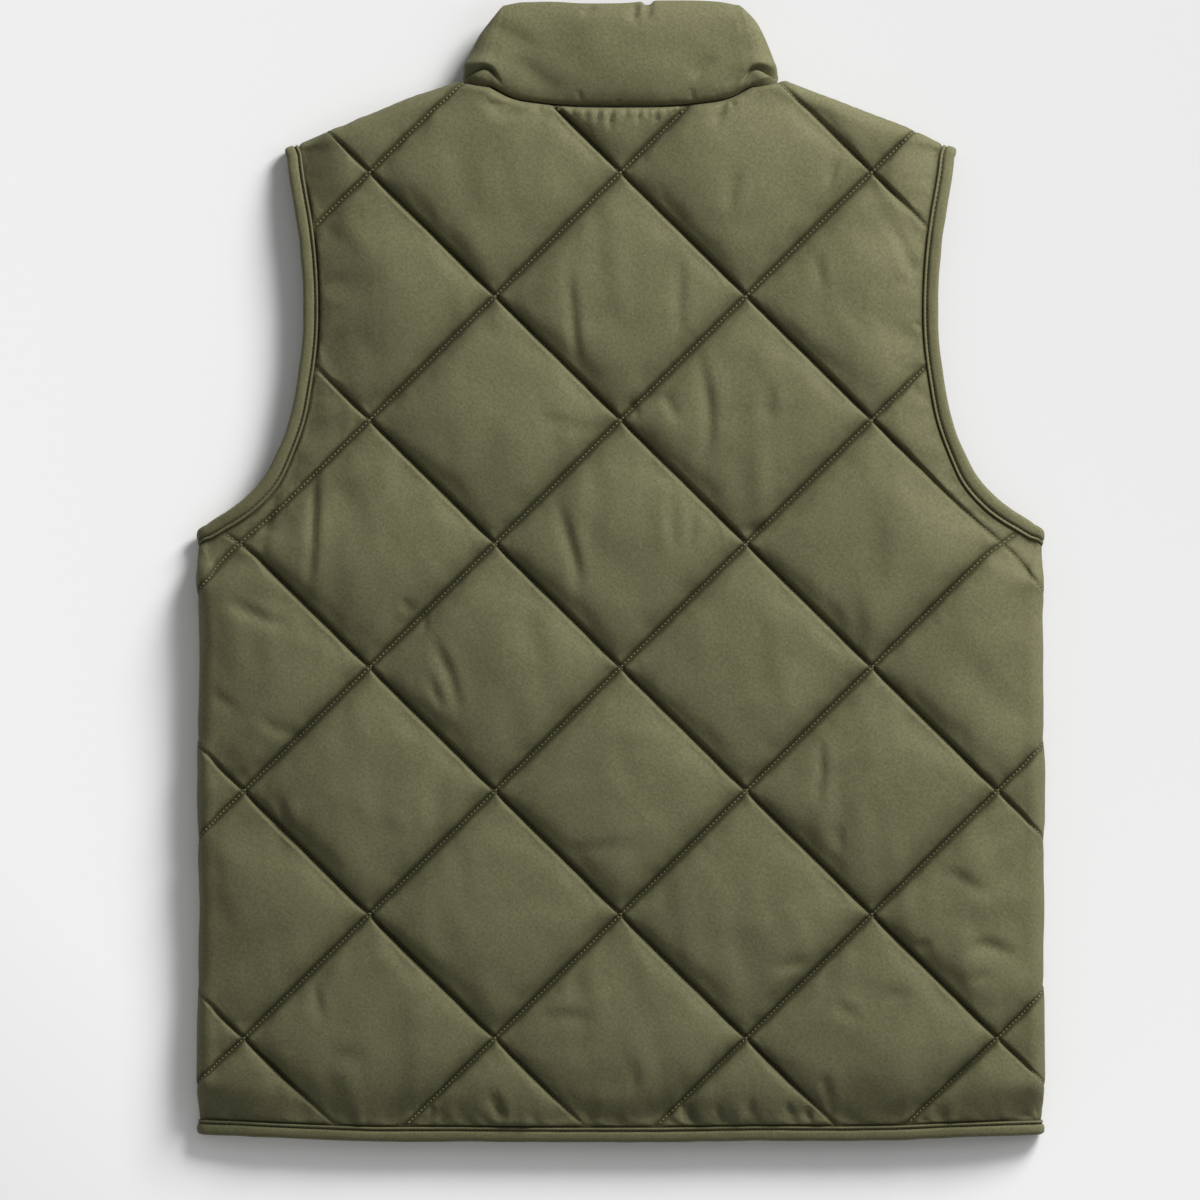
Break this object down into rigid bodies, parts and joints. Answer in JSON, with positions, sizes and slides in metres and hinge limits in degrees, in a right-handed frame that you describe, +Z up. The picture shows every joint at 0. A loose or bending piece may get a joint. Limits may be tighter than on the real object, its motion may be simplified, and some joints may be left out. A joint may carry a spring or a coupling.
{
  "type": "puffer vest",
  "caption": "Sleeveless diamond-quilted padded vest with a stand-up collar, bound armholes and hem and a full front zip, lying face down.",
  "frame": {"origin": "centre of the vest's box in plan, on the surface that it lies on", "axes": "+Z up out of the back panel, +Y towards the collar, +X towards the wearer's right"},
  "size_m": [0.55, 0.742, 0.0298],
  "materials": {
    "shell_cloth": "olive peached polyester, matt with a soft sheen",
    "binding_cloth": "olive woven tape",
    "zip_cloth": "dark olive zip tape",
    "dark_metal": "dark lacquered zip metal"
  },
  "bodies": {
    "vest": {"back": "shell_cloth", "front_left": "shell_cloth", "front_right": "shell_cloth", "collar": "shell_cloth", "armhole_binding_left": "binding_cloth", "armhole_binding_right": "binding_cloth", "hem_binding": "binding_cloth", "zip_tape_left": "zip_cloth", "zip_tape_right": "zip_cloth", "zip_chain": "dark_metal", "zip_box": "dark_metal", "zip_slider": "dark_metal"},
    "pull": {"zip_pull": "dark_metal"}
  },
  "joints": [
    {"name": "pull_tab_swing", "type": "hinge", "parent": "vest", "child": "pull", "pos_m": [0, 0.2865, 0.00595], "axis": [1, 0, 0], "range_deg": [0, 170]}
  ]
}
